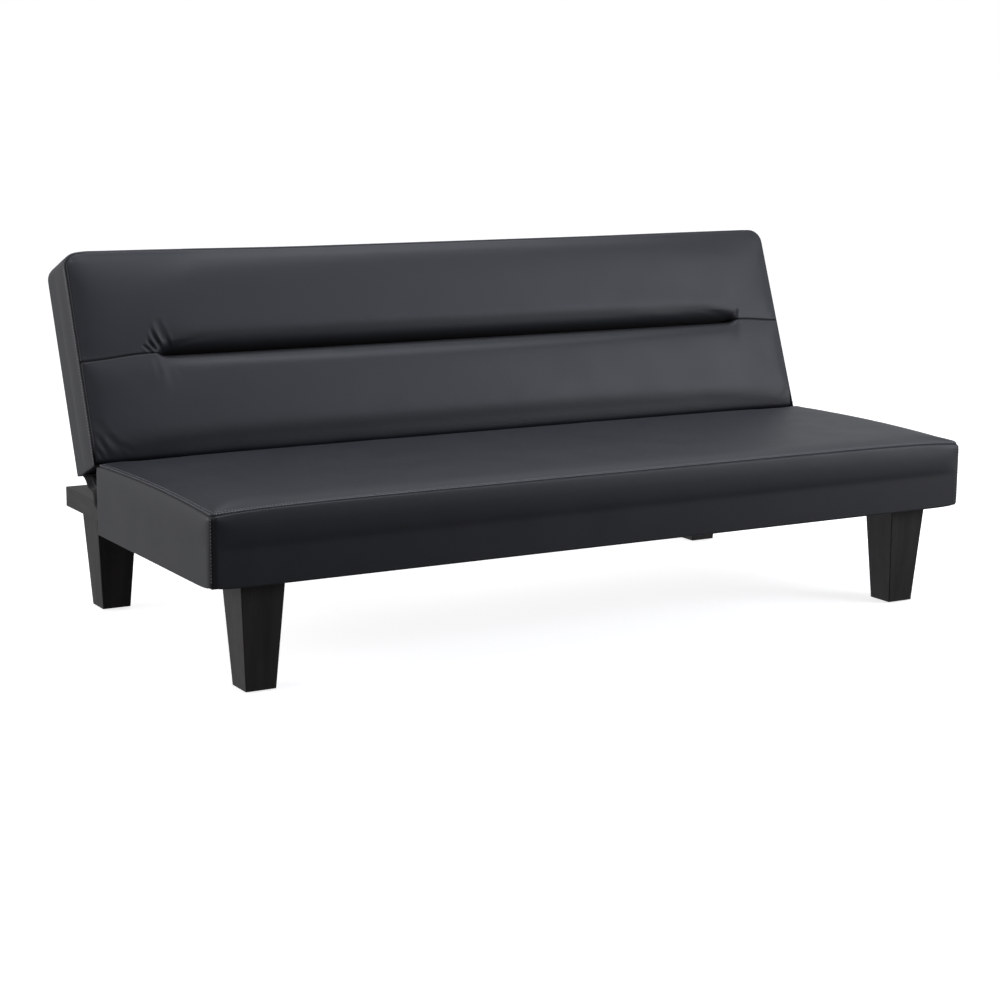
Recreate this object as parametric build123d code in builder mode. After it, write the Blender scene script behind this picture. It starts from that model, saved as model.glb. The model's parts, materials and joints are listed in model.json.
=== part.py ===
from build123d import *
import os
from math import atan2, cos, degrees, hypot, radians, sin

# A click-clack sofa bed: an upholstered seat on two base rails and four tapered legs, and an
# upholstered back that tilts between upright and flat on a ratchet hinge at each end.
#
# +X runs along the sofa to the right as seen from the front, +Y to the rear, +Z up.
# The origin is on the floor, under the middle of the whole sofa's box.
# Depths are measured from the front of the seat, insets from the nearer end.

# ---------------------------------------------------------------- overall sizes, mm and degrees
overall_width = 1696
seat_depth = 550
seat_thickness = 140
leg_height = 204
rail_overhang = 313
back_height = 428
back_thickness = 108
back_rake = 21

# ---------------------------------------------------------------- soft layers
cover_thickness = 1.5
wrap_thickness = 4
felt_thickness = 4
seat_corner_radius = 12
back_corner_radius = 38
dust_cover_thickness = 1.2
gap_cloth_thickness = 1.2
gap_cloth_tuck = 10
gap_cloth_belly = (0.55, 0.2)
panel_cut = 3
slit_middle_share = 0.6
slit_height_share = 1.3

# ---------------------------------------------------------------- legs and base rails
leg_top_size = 87
leg_foot_size = 60
leg_edge_radius = 2
front_leg_depth = 72
rear_leg_overhang = 78
glide_radius = 14
glide_height = 3
rail_width = 130
rail_thickness = 40
rail_end_inset = 48
rail_front_depth = 20
rail_edge_radius = 2

# ---------------------------------------------------------------- seat frame
apron_thickness = 12
apron_rise = 2
beam_width = 30
beam_height = 40
stretcher_width = 40
stretcher_height = 20
stretcher_offset = 280
spring_count = 10
spring_wire = 3.6
spring_swing = 44
spring_bends = 11
spring_end_gap = 90
clip_width = 18
clip_thickness = 2.4
clip_height = 16
bend_run_share = 0.4
bend_radius_share = 0.25

# ---------------------------------------------------------------- back frame
frame_depth = 39.5
frame_face_depth = 60
top_rail_width = 40
bottom_rail_width = 40
groove_rail_width = 40
stud_width = 40
stud_offset = 280
frame_rise = 4
webbing_width = 44
webbing_thickness = 1.5
webbing_shares = (1 / 3, 2 / 3)
panel_thickness = 3
groove_height = 215
groove_gap = 8
listing_thickness = 2
listing_left_inset = 158
listing_right_inset = 108

# ---------------------------------------------------------------- hinge and ratchet
hinge_set_back = 44
hinge_drop = 13.1
back_gap = 10
flat_clearance = 2
leaf_thickness = 3
layer_gap = 0.3
seat_leaf_boss = 18
back_leaf_boss = 16
leaf_bar_width = 28
arm_width = 22
leaf_bar_share = 0.45
seat_leaf_length = 125
back_leaf_width = 30
back_leaf_start = 25
back_leaf_end = 150
back_leaf_line = 79
pivot_radius = 5
pivot_head_radius = 8
pin_head_thickness = 3.5
ratchet_thickness = 4
ratchet_radius = 26
notch_angles = (-20, 0, 27, 69)
notch_width = 5.6
pawl_standoff = 10
pawl_nose_angle = 39
pawl_clearance = 0.5
pawl_tooth = 3.6
pawl_tooth_height = 7.5
pawl_bar = 6
pawl_boss = 6
pawl_travel = 8
pawl_pin_radius = 3
pin_shoulder = 1.5
pawl_tail_length = 14
pawl_tail_angle = 150
peg_radius = 1.5
peg_length = 5
spring_radius = 2.2
spring_peg_behind = 6
spring_peg_drop = 1
spring_end_play = 0.5
relief_gap = 6
relief_spare = 2
running_gap = 0.3
pin_gap = 0.1

# ---------------------------------------------------------------- fasteners
leg_bolt_radius = 4
leg_bolt_length = 86
leg_bolt_head_radius = 7
leg_bolt_head_height = 5
leg_washer_radius = 11
leg_washer_thickness = 2
rail_bolt_radius = 3
rail_bolt_length = 62
rail_bolt_head_radius = 5.5
rail_bolt_head_height = 4
rail_bolt_spacing = 60
screw_radius = 2.4
screw_length = 22
screw_head_radius = 4.5
screw_head_height = 2.4
hole_gap = 0.2
skin_gap = 0.3
head_spare = 1
bore_spare = 1

LEFT = -1
RIGHT = 1
ENDS = {"left": LEFT, "right": RIGHT}

# ---------------------------------------------------------------- places that follow from them
overall_depth = seat_depth + rail_overhang
half_width = overall_width / 2
front = -overall_depth / 2
seat_rear = front + seat_depth
rail_top = leg_height + rail_thickness
seat_top = leg_height + seat_thickness
skin = cover_thickness + wrap_thickness
beam_inset = skin + apron_thickness
beam_top = rail_top + beam_height
leaf_inset = beam_inset + beam_width
back_leaf_inset = leaf_inset + leaf_thickness + layer_gap
ratchet_inset = back_leaf_inset + leaf_thickness
pawl_inset = ratchet_inset + layer_gap
pawl_thickness = ratchet_thickness - 2 * layer_gap
foam_bottom = beam_top + felt_thickness
front_leg_y = front + front_leg_depth
rear_leg_y = -front - rear_leg_overhang
leg_inset = rail_end_inset + rail_width / 2
front_beam_y = (front + beam_inset, front + beam_inset + beam_width)
rear_beam_y = (seat_rear - cover_thickness - beam_width, seat_rear - cover_thickness)

# The hinge line is set so that the flat back lies just clear of the base rails.
rake = radians(back_rake)
hinge_z = rail_top + flat_clearance + back_thickness - hinge_set_back
back_foot_z = hinge_z + hinge_drop * cos(rake) + hinge_set_back * sin(rake)
back_foot_y = seat_rear + back_gap
hinge_y = back_foot_y - hinge_drop * sin(rake) + hinge_set_back * cos(rake)
hinge = (hinge_y, hinge_z)

# The back is drawn on its own front face: sketch X along the sofa, sketch Y up the back.
back_face = Plane(
    origin=(0, back_foot_y, back_foot_z),
    x_dir=(1, 0, 0),
    z_dir=(0, -cos(rake), sin(rake)),
)
frame_rear_depth = frame_face_depth + frame_depth
inner_back_height = back_height - skin


# ---------------------------------------------------------------- small helpers
def save(piece, label):
    """Label a finished piece and write its STEP file."""
    piece.part.label = label
    export_step(piece.part, f"parts/{label}.step")


def end_x(side, inset):
    """Distance along X of a line that is inset from one end of the sofa."""
    return side * (half_width - inset)


def span(side, inner, outer):
    """The X limits between two insets at one end, lower one first."""
    return tuple(sorted((end_x(side, inner), end_x(side, outer))))


def block(x, y, z, radius=0):
    """Add a squared board between two limits each way, its long edges eased by radius."""
    with BuildSketch(Plane.XY.offset(z[0])) as outline:
        with Locations(((x[0] + x[1]) / 2, (y[0] + y[1]) / 2)):
            if radius:
                RectangleRounded(x[1] - x[0], y[1] - y[0], radius)
            else:
                Rectangle(x[1] - x[0], y[1] - y[0])
    extrude(outline.sketch, amount=z[1] - z[0])


def back_block(x, up, depth):
    """Add a squared board of the back, between limits along, up and through it."""
    with BuildSketch(back_face.offset(-depth[0])) as outline:
        with Locations(((x[0] + x[1]) / 2, (up[0] + up[1]) / 2)):
            Rectangle(x[1] - x[0], up[1] - up[0])
    extrude(outline.sketch, amount=depth[0] - depth[1])


def back_slab(inset, depth, bottom, mode=Mode.ADD):
    """Add or cut a slab of the back's own outline, with its two round top corners."""
    height = back_height - inset - bottom
    with BuildSketch(back_face.offset(-depth[0])) as outline:
        with Locations((0, bottom)):
            Rectangle(overall_width - 2 * inset, height, align=(Align.CENTER, Align.MIN))
        corners = outline.vertices().group_by(Axis.Y)[-1]
        fillet(corners, back_corner_radius - inset)
    extrude(outline.sketch, amount=depth[0] - depth[1], mode=mode)


def back_point(up, depth):
    """The (y, z) place of a point of the back, given up its face and behind it."""
    y = back_foot_y + up * sin(rake) + depth * cos(rake)
    z = back_foot_z + up * cos(rake) - depth * sin(rake)
    return (y, z)


def polar(centre, distance, angle):
    """The (y, z) point at a distance and an angle from a centre, 0 to the rear, 90 up."""
    turn = radians(angle)
    return (centre[0] + distance * cos(turn), centre[1] + distance * sin(turn))


def side_plane(side, inset, thickness):
    """The upright plane on which a layer of that thickness is drawn and extruded along +X."""
    return Plane.YZ.offset(span(side, inset, inset + thickness)[0])


def disc(side, inset, thickness, centre, radius, mode=Mode.ADD):
    """Add or cut a disc or pin along X, starting at an inset from one end."""
    with BuildSketch(side_plane(side, inset, thickness)) as outline:
        with Locations(centre):
            Circle(radius)
    extrude(outline.sketch, amount=thickness, mode=mode)


def bar(side, inset, thickness, first, first_radius, last, last_radius, mode=Mode.ADD):
    """Add or cut a flat bar along X thickness, with a round end about each of two points."""
    with BuildSketch(side_plane(side, inset, thickness)) as outline:
        with Locations(first):
            Circle(first_radius)
        with Locations(last):
            Circle(last_radius)
        make_hull()
    extrude(outline.sketch, amount=thickness, mode=mode)


def upright_pin(x, y, top, length, radius):
    """Add an upright pin that hangs down from a height."""
    with BuildSketch(Plane.XY.offset(top)) as outline:
        with Locations((x, y)):
            Circle(radius)
    extrude(outline.sketch, amount=-length)


os.makedirs("parts", exist_ok=True)


# ---------------------------------------------------------------- legs, glides and their bolts
leg_places = {
    "front_left": (end_x(LEFT, leg_inset), front_leg_y),
    "front_right": (end_x(RIGHT, leg_inset), front_leg_y),
    "rear_left": (end_x(LEFT, leg_inset), rear_leg_y),
    "rear_right": (end_x(RIGHT, leg_inset), rear_leg_y),
}
leg_bolt_sink = leg_washer_thickness + leg_bolt_head_height + head_spare
leg_bolt_seat = rail_top - leg_bolt_sink
leg_bolt_end = leg_bolt_seat + leg_washer_thickness - leg_bolt_length


def build_leg(label, x, y):
    """A square leg that tapers evenly down to its foot, bored for its bolt."""
    with BuildPart() as leg:
        for height, size in ((glide_height, leg_foot_size), (leg_height, leg_top_size)):
            with BuildSketch(Plane.XY.offset(height)):
                with Locations((x, y)):
                    RectangleRounded(size, size, leg_edge_radius)
        loft()
        with Locations((x, y, leg_height)):
            Hole(leg_bolt_radius + hole_gap, leg_height - leg_bolt_end + hole_gap)
    save(leg, label)


for corner, place in leg_places.items():
    build_leg(f"{corner}_leg", *place)

with BuildPart() as foot_glides:
    for x, y in leg_places.values():
        upright_pin(x, y, glide_height, glide_height, glide_radius)
save(foot_glides, "foot_glides")

with BuildPart() as leg_washers:
    for x, y in leg_places.values():
        with BuildSketch(Plane.XY.offset(leg_bolt_seat)):
            with Locations((x, y)):
                Circle(leg_washer_radius)
                Circle(leg_bolt_radius + hole_gap, mode=Mode.SUBTRACT)
    extrude(amount=leg_washer_thickness)
save(leg_washers, "leg_washers")

with BuildPart() as leg_bolts:
    for x, y in leg_places.values():
        head_bottom = leg_bolt_seat + leg_washer_thickness
        with BuildSketch(Plane.XY.offset(head_bottom)) as head:
            with Locations((x, y)):
                RegularPolygon(leg_bolt_head_radius, 6)
        extrude(head.sketch, amount=leg_bolt_head_height)
        upright_pin(x, y, head_bottom, leg_bolt_length, leg_bolt_radius)
save(leg_bolts, "leg_bolts")


# ---------------------------------------------------------------- base rails and their bolts
def rail_bolt_places(side):
    """The two bolts of each crossing of a base rail with the front and the rear beam."""
    centre = end_x(side, leg_inset)
    rows = (sum(front_beam_y) / 2, sum(rear_beam_y) / 2)
    return [
        (centre + half * rail_bolt_spacing / 2, y)
        for y in rows
        for half in (-1, 1)
    ]


def build_base_rail(name, side):
    """A flat plank, bored and counterbored for the leg bolts and bored for the frame bolts."""
    with BuildPart() as base_rail:
        x = span(side, rail_end_inset, rail_end_inset + rail_width)
        y = (front + rail_front_depth, -front)
        block(x, y, (leg_height, rail_top), rail_edge_radius)
        for leg_y in (front_leg_y, rear_leg_y):
            with Locations((end_x(side, leg_inset), leg_y, rail_top)):
                CounterBoreHole(
                    leg_bolt_radius + hole_gap,
                    leg_washer_radius + hole_gap,
                    leg_bolt_sink,
                )
        depth = rail_bolt_length - (beam_height - rail_bolt_head_height) + hole_gap
        for bolt_x, bolt_y in rail_bolt_places(side):
            with Locations((bolt_x, bolt_y, rail_top)):
                Hole(rail_bolt_radius + hole_gap, depth)
    save(base_rail, f"{name}_base_rail")


for name, side in ENDS.items():
    build_base_rail(name, side)

with BuildPart() as rail_bolts:
    for side in ENDS.values():
        for x, y in rail_bolt_places(side):
            upright_pin(x, y, beam_top, rail_bolt_head_height, rail_bolt_head_radius)
            shank_top = beam_top - rail_bolt_head_height
            upright_pin(x, y, shank_top, rail_bolt_length, rail_bolt_radius)
save(rail_bolts, "rail_bolts")


# ---------------------------------------------------------------- seat frame
def build_cross_beam(label, y, end_inset):
    """A beam along the sofa, counterbored for the bolts that hold it to the base rails."""
    with BuildPart() as beam:
        limits = (-half_width + end_inset, half_width - end_inset)
        block(limits, y, (rail_top, beam_top))
        for side in ENDS.values():
            for bolt_x, bolt_y in rail_bolt_places(side):
                if y[0] < bolt_y < y[1]:
                    with Locations((bolt_x, bolt_y, beam_top)):
                        CounterBoreHole(
                            rail_bolt_radius + hole_gap,
                            rail_bolt_head_radius + hole_gap,
                            rail_bolt_head_height,
                        )
    save(beam, label)


build_cross_beam("seat_front_beam", front_beam_y, leaf_inset)
build_cross_beam("seat_rear_beam", rear_beam_y, leaf_inset + leaf_thickness)

leaf_bar_z = rail_top + beam_height * leaf_bar_share
leaf_bar_rear = (seat_rear + arm_width / 2, leaf_bar_z)
leaf_bar_front = (leaf_bar_rear[0] - seat_leaf_length, leaf_bar_z)
seat_screw_steps = (0.08, 0.3, 0.52)
seat_screw_places = [
    (leaf_bar_front[0] + step * seat_leaf_length, leaf_bar_z) for step in seat_screw_steps
]
back_screw_heights = (60, 105, 150)
back_screw_places = [back_point(up, back_leaf_line) for up in back_screw_heights]


def screw_bores(side, surface_inset, places):
    """Cut the blind screw holes behind a leaf, from its timber's face towards the end."""
    bore = screw_length - leaf_thickness + bore_spare
    for centre in places:
        radius = screw_radius + hole_gap
        disc(side, surface_inset - bore, bore, centre, radius, Mode.SUBTRACT)


def build_side_beam(name, side):
    """A short beam at one end of the seat, with the seat leaf screwed to its inner face."""
    with BuildPart() as beam:
        y = (front + beam_inset, seat_rear - cover_thickness)
        block(span(side, beam_inset, leaf_inset), y, (rail_top, beam_top))
        screw_bores(side, leaf_inset, seat_screw_places)
    save(beam, f"seat_{name}_beam")


def build_stretcher(name, side):
    """A flat rail from the front beam to the rear beam, below the springs."""
    with BuildPart() as stretcher:
        centre = side * stretcher_offset
        x = (centre - stretcher_width / 2, centre + stretcher_width / 2)
        y = (front_beam_y[1], rear_beam_y[0])
        block(x, y, (rail_top, rail_top + stretcher_height))
    save(stretcher, f"seat_{name}_stretcher")


def build_side_apron(name, side):
    """The board behind the cover's skirt at one end of the seat."""
    with BuildPart() as apron:
        y = (front + beam_inset, seat_rear - cover_thickness)
        block(span(side, skin, beam_inset), y, (leg_height + apron_rise, beam_top))
    save(apron, f"seat_{name}_apron")


for name, side in ENDS.items():
    build_side_beam(name, side)
    build_stretcher(name, side)
    build_side_apron(name, side)

with BuildPart() as seat_front_apron:
    block(
        (-half_width + skin, half_width - skin),
        (front + skin, front + beam_inset),
        (leg_height + apron_rise, beam_top),
    )
save(seat_front_apron, "seat_front_apron")


# ---------------------------------------------------------------- springs, felt, foam and cover
spring_end = clip_thickness + spring_wire / 2
spring_run = (front_beam_y[1] + spring_end, rear_beam_y[0] - spring_end)
spring_pitch = (overall_width - 2 * leaf_inset - 2 * spring_end_gap) / (spring_count - 1)
spring_places = [(i - (spring_count - 1) / 2) * spring_pitch for i in range(spring_count)]

with BuildPart() as seat_springs:
    step = (spring_run[1] - spring_run[0]) / (spring_bends + 1)
    points = [(0, spring_run[0])]
    for bend in range(1, spring_bends + 1):
        swing = spring_swing / 2 * (1 if bend % 2 else -1)
        points.append((swing, spring_run[0] + (bend - bend_run_share) * step))
        points.append((swing, spring_run[0] + (bend + bend_run_share) * step))
    points.append((0, spring_run[1]))
    for x in spring_places:
        with BuildSketch(Plane.XY.move(Location((x, 0, beam_top - spring_wire)))):
            with BuildLine():
                FilletPolyline(*points, radius=step * bend_radius_share)
            trace(line_width=spring_wire)
    extrude(amount=spring_wire)
save(seat_springs, "seat_springs")

with BuildPart() as seat_spring_clips:
    for x in spring_places:
        for face, inward in ((front_beam_y[1], 1), (rear_beam_y[0], -1)):
            y = sorted((face, face + inward * clip_thickness))
            block((x - clip_width / 2, x + clip_width / 2), y, (beam_top - clip_height, beam_top))
save(seat_spring_clips, "seat_spring_clips")

with BuildPart() as seat_felt_pad:
    x = half_width - beam_inset
    block((-x, x), (front + beam_inset, seat_rear - cover_thickness), (beam_top, foam_bottom))
save(seat_felt_pad, "seat_felt_pad")

with BuildPart() as seat_foam:
    block(
        (-half_width + skin, half_width - skin),
        (front + skin, seat_rear - cover_thickness),
        (foam_bottom, seat_top - skin),
    )
save(seat_foam, "seat_foam")


def seat_box(inset, top, mode=Mode.ADD, radius=0):
    """Add or cut the seat's box, inset from its front and ends and left full at the rear."""
    rear = seat_rear if mode == Mode.ADD else seat_rear - cover_thickness
    y = (front + inset, rear)
    with BuildSketch(Plane.XY.offset(leg_height)) as outline:
        with Locations((0, (y[0] + y[1]) / 2)):
            Rectangle(overall_width - 2 * inset, y[1] - y[0])
        if radius:
            fillet(outline.vertices().group_by(Axis.Y)[0], radius)
    extrude(outline.sketch, amount=top - leg_height, mode=mode)


with BuildPart() as seat_fibre_wrap:
    wrap_radius = seat_corner_radius - cover_thickness
    seat_box(cover_thickness, seat_top - cover_thickness, radius=wrap_radius)
    seat_box(skin, seat_top - skin, mode=Mode.SUBTRACT)
    with BuildSketch(Plane.XY.offset(leg_height)) as wrap_trim:
        with Locations((0, seat_rear)):
            Rectangle(overall_width, 2 * cover_thickness)
    extrude(wrap_trim.sketch, amount=seat_thickness, mode=Mode.SUBTRACT)
save(seat_fibre_wrap, "seat_fibre_wrap")

with BuildPart() as seat_cover:
    seat_box(0, seat_top, radius=seat_corner_radius)
    seat_box(
        cover_thickness,
        seat_top - cover_thickness,
        mode=Mode.SUBTRACT,
        radius=seat_corner_radius - cover_thickness,
    )
    rear_panel_x = half_width - cover_thickness
    with BuildSketch(Plane.XY.offset(leg_height)) as rail_slot:
        with Locations((0, seat_rear)):
            Rectangle(2 * rear_panel_x, 2 * panel_cut)
    extrude(rail_slot.sketch, amount=rail_thickness + skin_gap, mode=Mode.SUBTRACT)
    for side in ENDS.values():
        slit_inset = leaf_inset - running_gap
        slit = leaf_thickness + 2 * running_gap
        with BuildSketch(side_plane(side, slit_inset, slit)) as leaf_slit:
            with Locations((seat_rear, rail_top + beam_height * slit_middle_share)):
                Rectangle(2 * panel_cut, beam_height * slit_height_share)
        extrude(leaf_slit.sketch, amount=slit, mode=Mode.SUBTRACT)
save(seat_cover, "seat_cover")

with BuildPart() as seat_dust_cover:
    x = half_width - rail_end_inset - rail_width - skin_gap
    y = (front_beam_y[0], rear_beam_y[1])
    block((-x, x), y, (rail_top - dust_cover_thickness, rail_top))
save(seat_dust_cover, "seat_dust_cover")


# ---------------------------------------------------------------- hinge: seat side
pawl_pivot_angle = degrees(atan2(leaf_bar_z - hinge_z, leaf_bar_rear[0] - hinge_y))
pawl_pivot = polar(hinge, ratchet_radius + pawl_standoff, pawl_pivot_angle)
spring_peg = (seat_rear + spring_peg_behind, leaf_bar_z - spring_peg_drop)


def build_seat_leaf(name, side):
    """A cranked plate: a bar on the side beam, and an arm that rises to the hinge pin."""
    with BuildPart() as leaf:
        bar(
            side, leaf_inset, leaf_thickness,
            leaf_bar_front, leaf_bar_width / 2, leaf_bar_rear, arm_width / 2,
        )
        bar(
            side, leaf_inset, leaf_thickness,
            leaf_bar_rear, arm_width / 2, hinge, arm_width / 2,
        )
        disc(side, leaf_inset, leaf_thickness, hinge, seat_leaf_boss)
        peg = pawl_inset + pawl_thickness + peg_length - leaf_inset
        disc(side, leaf_inset, peg, spring_peg, peg_radius)
        for centre, radius in ((hinge, pivot_radius), (pawl_pivot, pawl_pin_radius)):
            hole = radius + pin_gap / 2
            disc(side, leaf_inset, leaf_thickness, centre, hole, Mode.SUBTRACT)
        for centre in seat_screw_places:
            hole = screw_radius + hole_gap
            disc(side, leaf_inset, leaf_thickness, centre, hole, Mode.SUBTRACT)
    save(leaf, f"{name}_seat_leaf")


def build_pivot_pin(name, side):
    """The hinge pin, with a head outside the seat leaf and a riveted end inside the ratchet."""
    with BuildPart() as pin:
        stack = 2 * leaf_thickness + layer_gap + ratchet_thickness + layer_gap
        disc(side, leaf_inset, stack, hinge, pivot_radius)
        disc(side, leaf_inset - pin_head_thickness, pin_head_thickness, hinge, pivot_head_radius)
        disc(side, leaf_inset + stack, pin_head_thickness, hinge, pivot_head_radius)
    save(pin, f"{name}_pivot_pin")


def build_pawl_pin(name, side):
    """The pawl's pin, with a shoulder that holds the pawl level with the ratchet."""
    with BuildPart() as pin:
        shoulder = pawl_inset - layer_gap - leaf_inset - leaf_thickness
        disc(side, leaf_inset, leaf_thickness, pawl_pivot, pawl_pin_radius)
        shoulder_radius = pawl_pin_radius + pin_shoulder
        disc(side, leaf_inset + leaf_thickness, shoulder, pawl_pivot, shoulder_radius)
        grip = pawl_thickness + 2 * layer_gap
        disc(side, ratchet_inset, grip, pawl_pivot, pawl_pin_radius)
        disc(side, ratchet_inset + grip, pin_head_thickness / 2, pawl_pivot, shoulder_radius)
    save(pin, f"{name}_pawl_pin")


pawl_tail = polar(pawl_pivot, pawl_tail_length, pawl_tail_angle)


def build_pawl_spring(name, side):
    """The spring that pulls the pawl's tail, drawn as its outer shape between two pegs."""
    with BuildPart() as spring:
        inset = pawl_inset + pawl_thickness + layer_gap
        reach = hypot(pawl_tail[0] - spring_peg[0], pawl_tail[1] - spring_peg[1])
        angle = degrees(atan2(pawl_tail[1] - spring_peg[1], pawl_tail[0] - spring_peg[0]))
        margin = peg_radius + spring_end_play
        first = polar(spring_peg, margin, angle)
        axis = Plane(
            origin=(end_x(side, inset + spring_radius), *first),
            z_dir=(0, cos(radians(angle)), sin(radians(angle))),
        )
        with BuildSketch(axis):
            Circle(spring_radius)
        extrude(amount=reach - 2 * margin)
    save(spring, f"{name}_pawl_spring")


for name, side in ENDS.items():
    build_seat_leaf(name, side)
    build_pivot_pin(name, side)
    build_pawl_pin(name, side)
    build_pawl_spring(name, side)


def build_leaf_screws(label, surface_inset, places):
    """The round-headed screws of both leaves, three at each end."""
    with BuildPart() as screws:
        for side in ENDS.values():
            for centre in places:
                shank = surface_inset + leaf_thickness - screw_length
                disc(side, shank, screw_length, centre, screw_radius)
                head = surface_inset + leaf_thickness
                disc(side, head, screw_head_height, centre, screw_head_radius)
    save(screws, label)


build_leaf_screws("seat_leaf_screws", leaf_inset, seat_screw_places)
build_leaf_screws("back_leaf_screws", back_leaf_inset, back_screw_places)


# ---------------------------------------------------------------- hinge: back side
nose_angle = pawl_pivot_angle + pawl_nose_angle
stored_tip = polar(hinge, ratchet_radius + pawl_clearance, nose_angle)
tip_reach = hypot(stored_tip[0] - pawl_pivot[0], stored_tip[1] - pawl_pivot[1])
tip_angle = degrees(atan2(stored_tip[1] - pawl_pivot[1], stored_tip[0] - pawl_pivot[0]))
caught_tip = polar(pawl_pivot, tip_reach, tip_angle + pawl_travel)
caught_radius = hypot(caught_tip[0] - hinge_y, caught_tip[1] - hinge_z)
caught_angle = degrees(atan2(caught_tip[1] - hinge_z, caught_tip[0] - hinge_y))
notch_floor = caught_radius - pawl_clearance


def build_back_leaf(name, side):
    """A cranked plate on the inner face of the stile, with its eye on the hinge pin."""
    with BuildPart() as leaf:
        strip_foot = back_point(back_leaf_start, back_leaf_line)
        strip_head = back_point(back_leaf_end, back_leaf_line)
        half = back_leaf_width / 2
        bar(side, back_leaf_inset, leaf_thickness, hinge, back_leaf_boss, strip_foot, half)
        bar(side, back_leaf_inset, leaf_thickness, strip_foot, half, strip_head, half)
        hole = pivot_radius + pin_gap
        disc(side, back_leaf_inset, leaf_thickness, hinge, hole, Mode.SUBTRACT)
        for centre in back_screw_places:
            hole = screw_radius + hole_gap
            disc(side, back_leaf_inset, leaf_thickness, centre, hole, Mode.SUBTRACT)
    save(leaf, f"{name}_back_leaf")


def build_ratchet(name, side):
    """A disc with one notch for each place of the back, welded to the back leaf."""
    with BuildPart() as ratchet:
        disc(side, ratchet_inset, ratchet_thickness, hinge, ratchet_radius)
        hole = pivot_radius + pin_gap
        disc(side, ratchet_inset, ratchet_thickness, hinge, hole, Mode.SUBTRACT)
        depth = ratchet_radius - notch_floor
        with BuildSketch(side_plane(side, ratchet_inset, ratchet_thickness)) as notches:
            with Locations(hinge):
                for recline in notch_angles:
                    middle = caught_angle + recline
                    with PolarLocations(notch_floor + depth, 1, start_angle=middle):
                        Rectangle(2 * depth, notch_width)
        extrude(notches.sketch, amount=ratchet_thickness, mode=Mode.SUBTRACT)
    save(ratchet, f"{name}_ratchet")


def build_pawl(name, side):
    """A cranked lever: a tooth under the ratchet, and a tail with the spring's peg."""
    with BuildPart() as pawl:
        root = polar(stored_tip, pawl_tooth_height, nose_angle)
        bar(side, pawl_inset, pawl_thickness, pawl_pivot, pawl_boss, root, pawl_bar / 2)
        bar(side, pawl_inset, pawl_thickness, pawl_pivot, pawl_boss, pawl_tail, pawl_bar / 2)
        with BuildSketch(side_plane(side, pawl_inset, pawl_thickness)) as tooth:
            with Locations(stored_tip):
                with PolarLocations(pawl_tooth_height / 2, 1, start_angle=nose_angle):
                    Rectangle(pawl_tooth_height, pawl_tooth)
        extrude(tooth.sketch, amount=pawl_thickness)
        hole = pawl_pin_radius + pin_gap
        disc(side, pawl_inset, pawl_thickness, pawl_pivot, hole, Mode.SUBTRACT)
        disc(side, pawl_inset + pawl_thickness, peg_length, pawl_tail, peg_radius)
    save(pawl, f"{name}_pawl")


for name, side in ENDS.items():
    build_back_leaf(name, side)
    build_ratchet(name, side)
    build_pawl(name, side)


# ---------------------------------------------------------------- back frame
stud_rows = {
    "lower": (frame_rise + bottom_rail_width, groove_height - groove_rail_width / 2),
    "upper": (groove_height + groove_rail_width / 2, inner_back_height - top_rail_width),
}
frame_span = (frame_face_depth, frame_rear_depth)


def build_stile(name, side):
    """An upright of the back frame, with the back leaf screwed to its inner face."""
    with BuildPart() as stile:
        up = (frame_rise, inner_back_height - top_rail_width)
        back_block(span(side, skin, back_leaf_inset), up, frame_span)
        screw_bores(side, back_leaf_inset, back_screw_places)
    save(stile, f"back_{name}_stile")


def build_stud(row, name, side):
    """A short upright between two rails of the back frame."""
    with BuildPart() as stud:
        centre = side * stud_offset
        x = (centre - stud_width / 2, centre + stud_width / 2)
        back_block(x, stud_rows[row], frame_span)
    save(stud, f"back_{row}_{name}_stud")


for name, side in ENDS.items():
    build_stile(name, side)
    for row in stud_rows:
        build_stud(row, name, side)

with BuildPart() as back_top_rail:
    with BuildSketch(back_face.offset(-frame_face_depth)) as top_outline:
        with Locations((0, inner_back_height)):
            Rectangle(
                overall_width - 2 * skin, top_rail_width, align=(Align.CENTER, Align.MAX)
            )
        top_corners = top_outline.vertices().group_by(Axis.Y)[-1]
        fillet(top_corners, back_corner_radius - skin)
    extrude(amount=-frame_depth)
save(back_top_rail, "back_top_rail")

with BuildPart() as back_bottom_rail:
    x = half_width - ratchet_inset
    back_block((-x, x), (frame_rise, frame_rise + bottom_rail_width), frame_span)
    for side in ENDS.values():
        room = ratchet_thickness + pin_head_thickness + relief_spare
        radius = ratchet_radius + relief_spare
        disc(side, ratchet_inset, room, hinge, radius, Mode.SUBTRACT)
save(back_bottom_rail, "back_bottom_rail")

with BuildPart() as back_groove_rail:
    x = half_width - back_leaf_inset
    half = groove_rail_width / 2
    back_block((-x, x), (groove_height - half, groove_height + half), frame_span)
save(back_groove_rail, "back_groove_rail")

# ---------------------------------------------------------------- back padding and cover
webbing_face = frame_face_depth - webbing_thickness

with BuildPart() as back_webbing:
    x = half_width - back_leaf_inset + webbing_width / 2
    for low, high in stud_rows.values():
        for share in webbing_shares:
            middle = low + (high - low) * share
            up = (middle - webbing_width / 2, middle + webbing_width / 2)
            back_block((-x, x), up, (webbing_face, frame_face_depth))
save(back_webbing, "back_webbing")


def hinge_relief(side):
    """Cut the room round the hinge's plates, pins and pawl out of the padding."""
    inset = leaf_inset - pin_head_thickness - relief_spare
    depth = pawl_inset + pawl_thickness + peg_length + relief_spare - inset
    foot = back_point(back_leaf_start, back_leaf_line)
    foot_radius = back_leaf_width / 2 + relief_spare
    relief_radius = ratchet_radius + relief_gap
    bar(side, inset, depth, hinge, relief_radius, foot, foot_radius, Mode.SUBTRACT)


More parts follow.
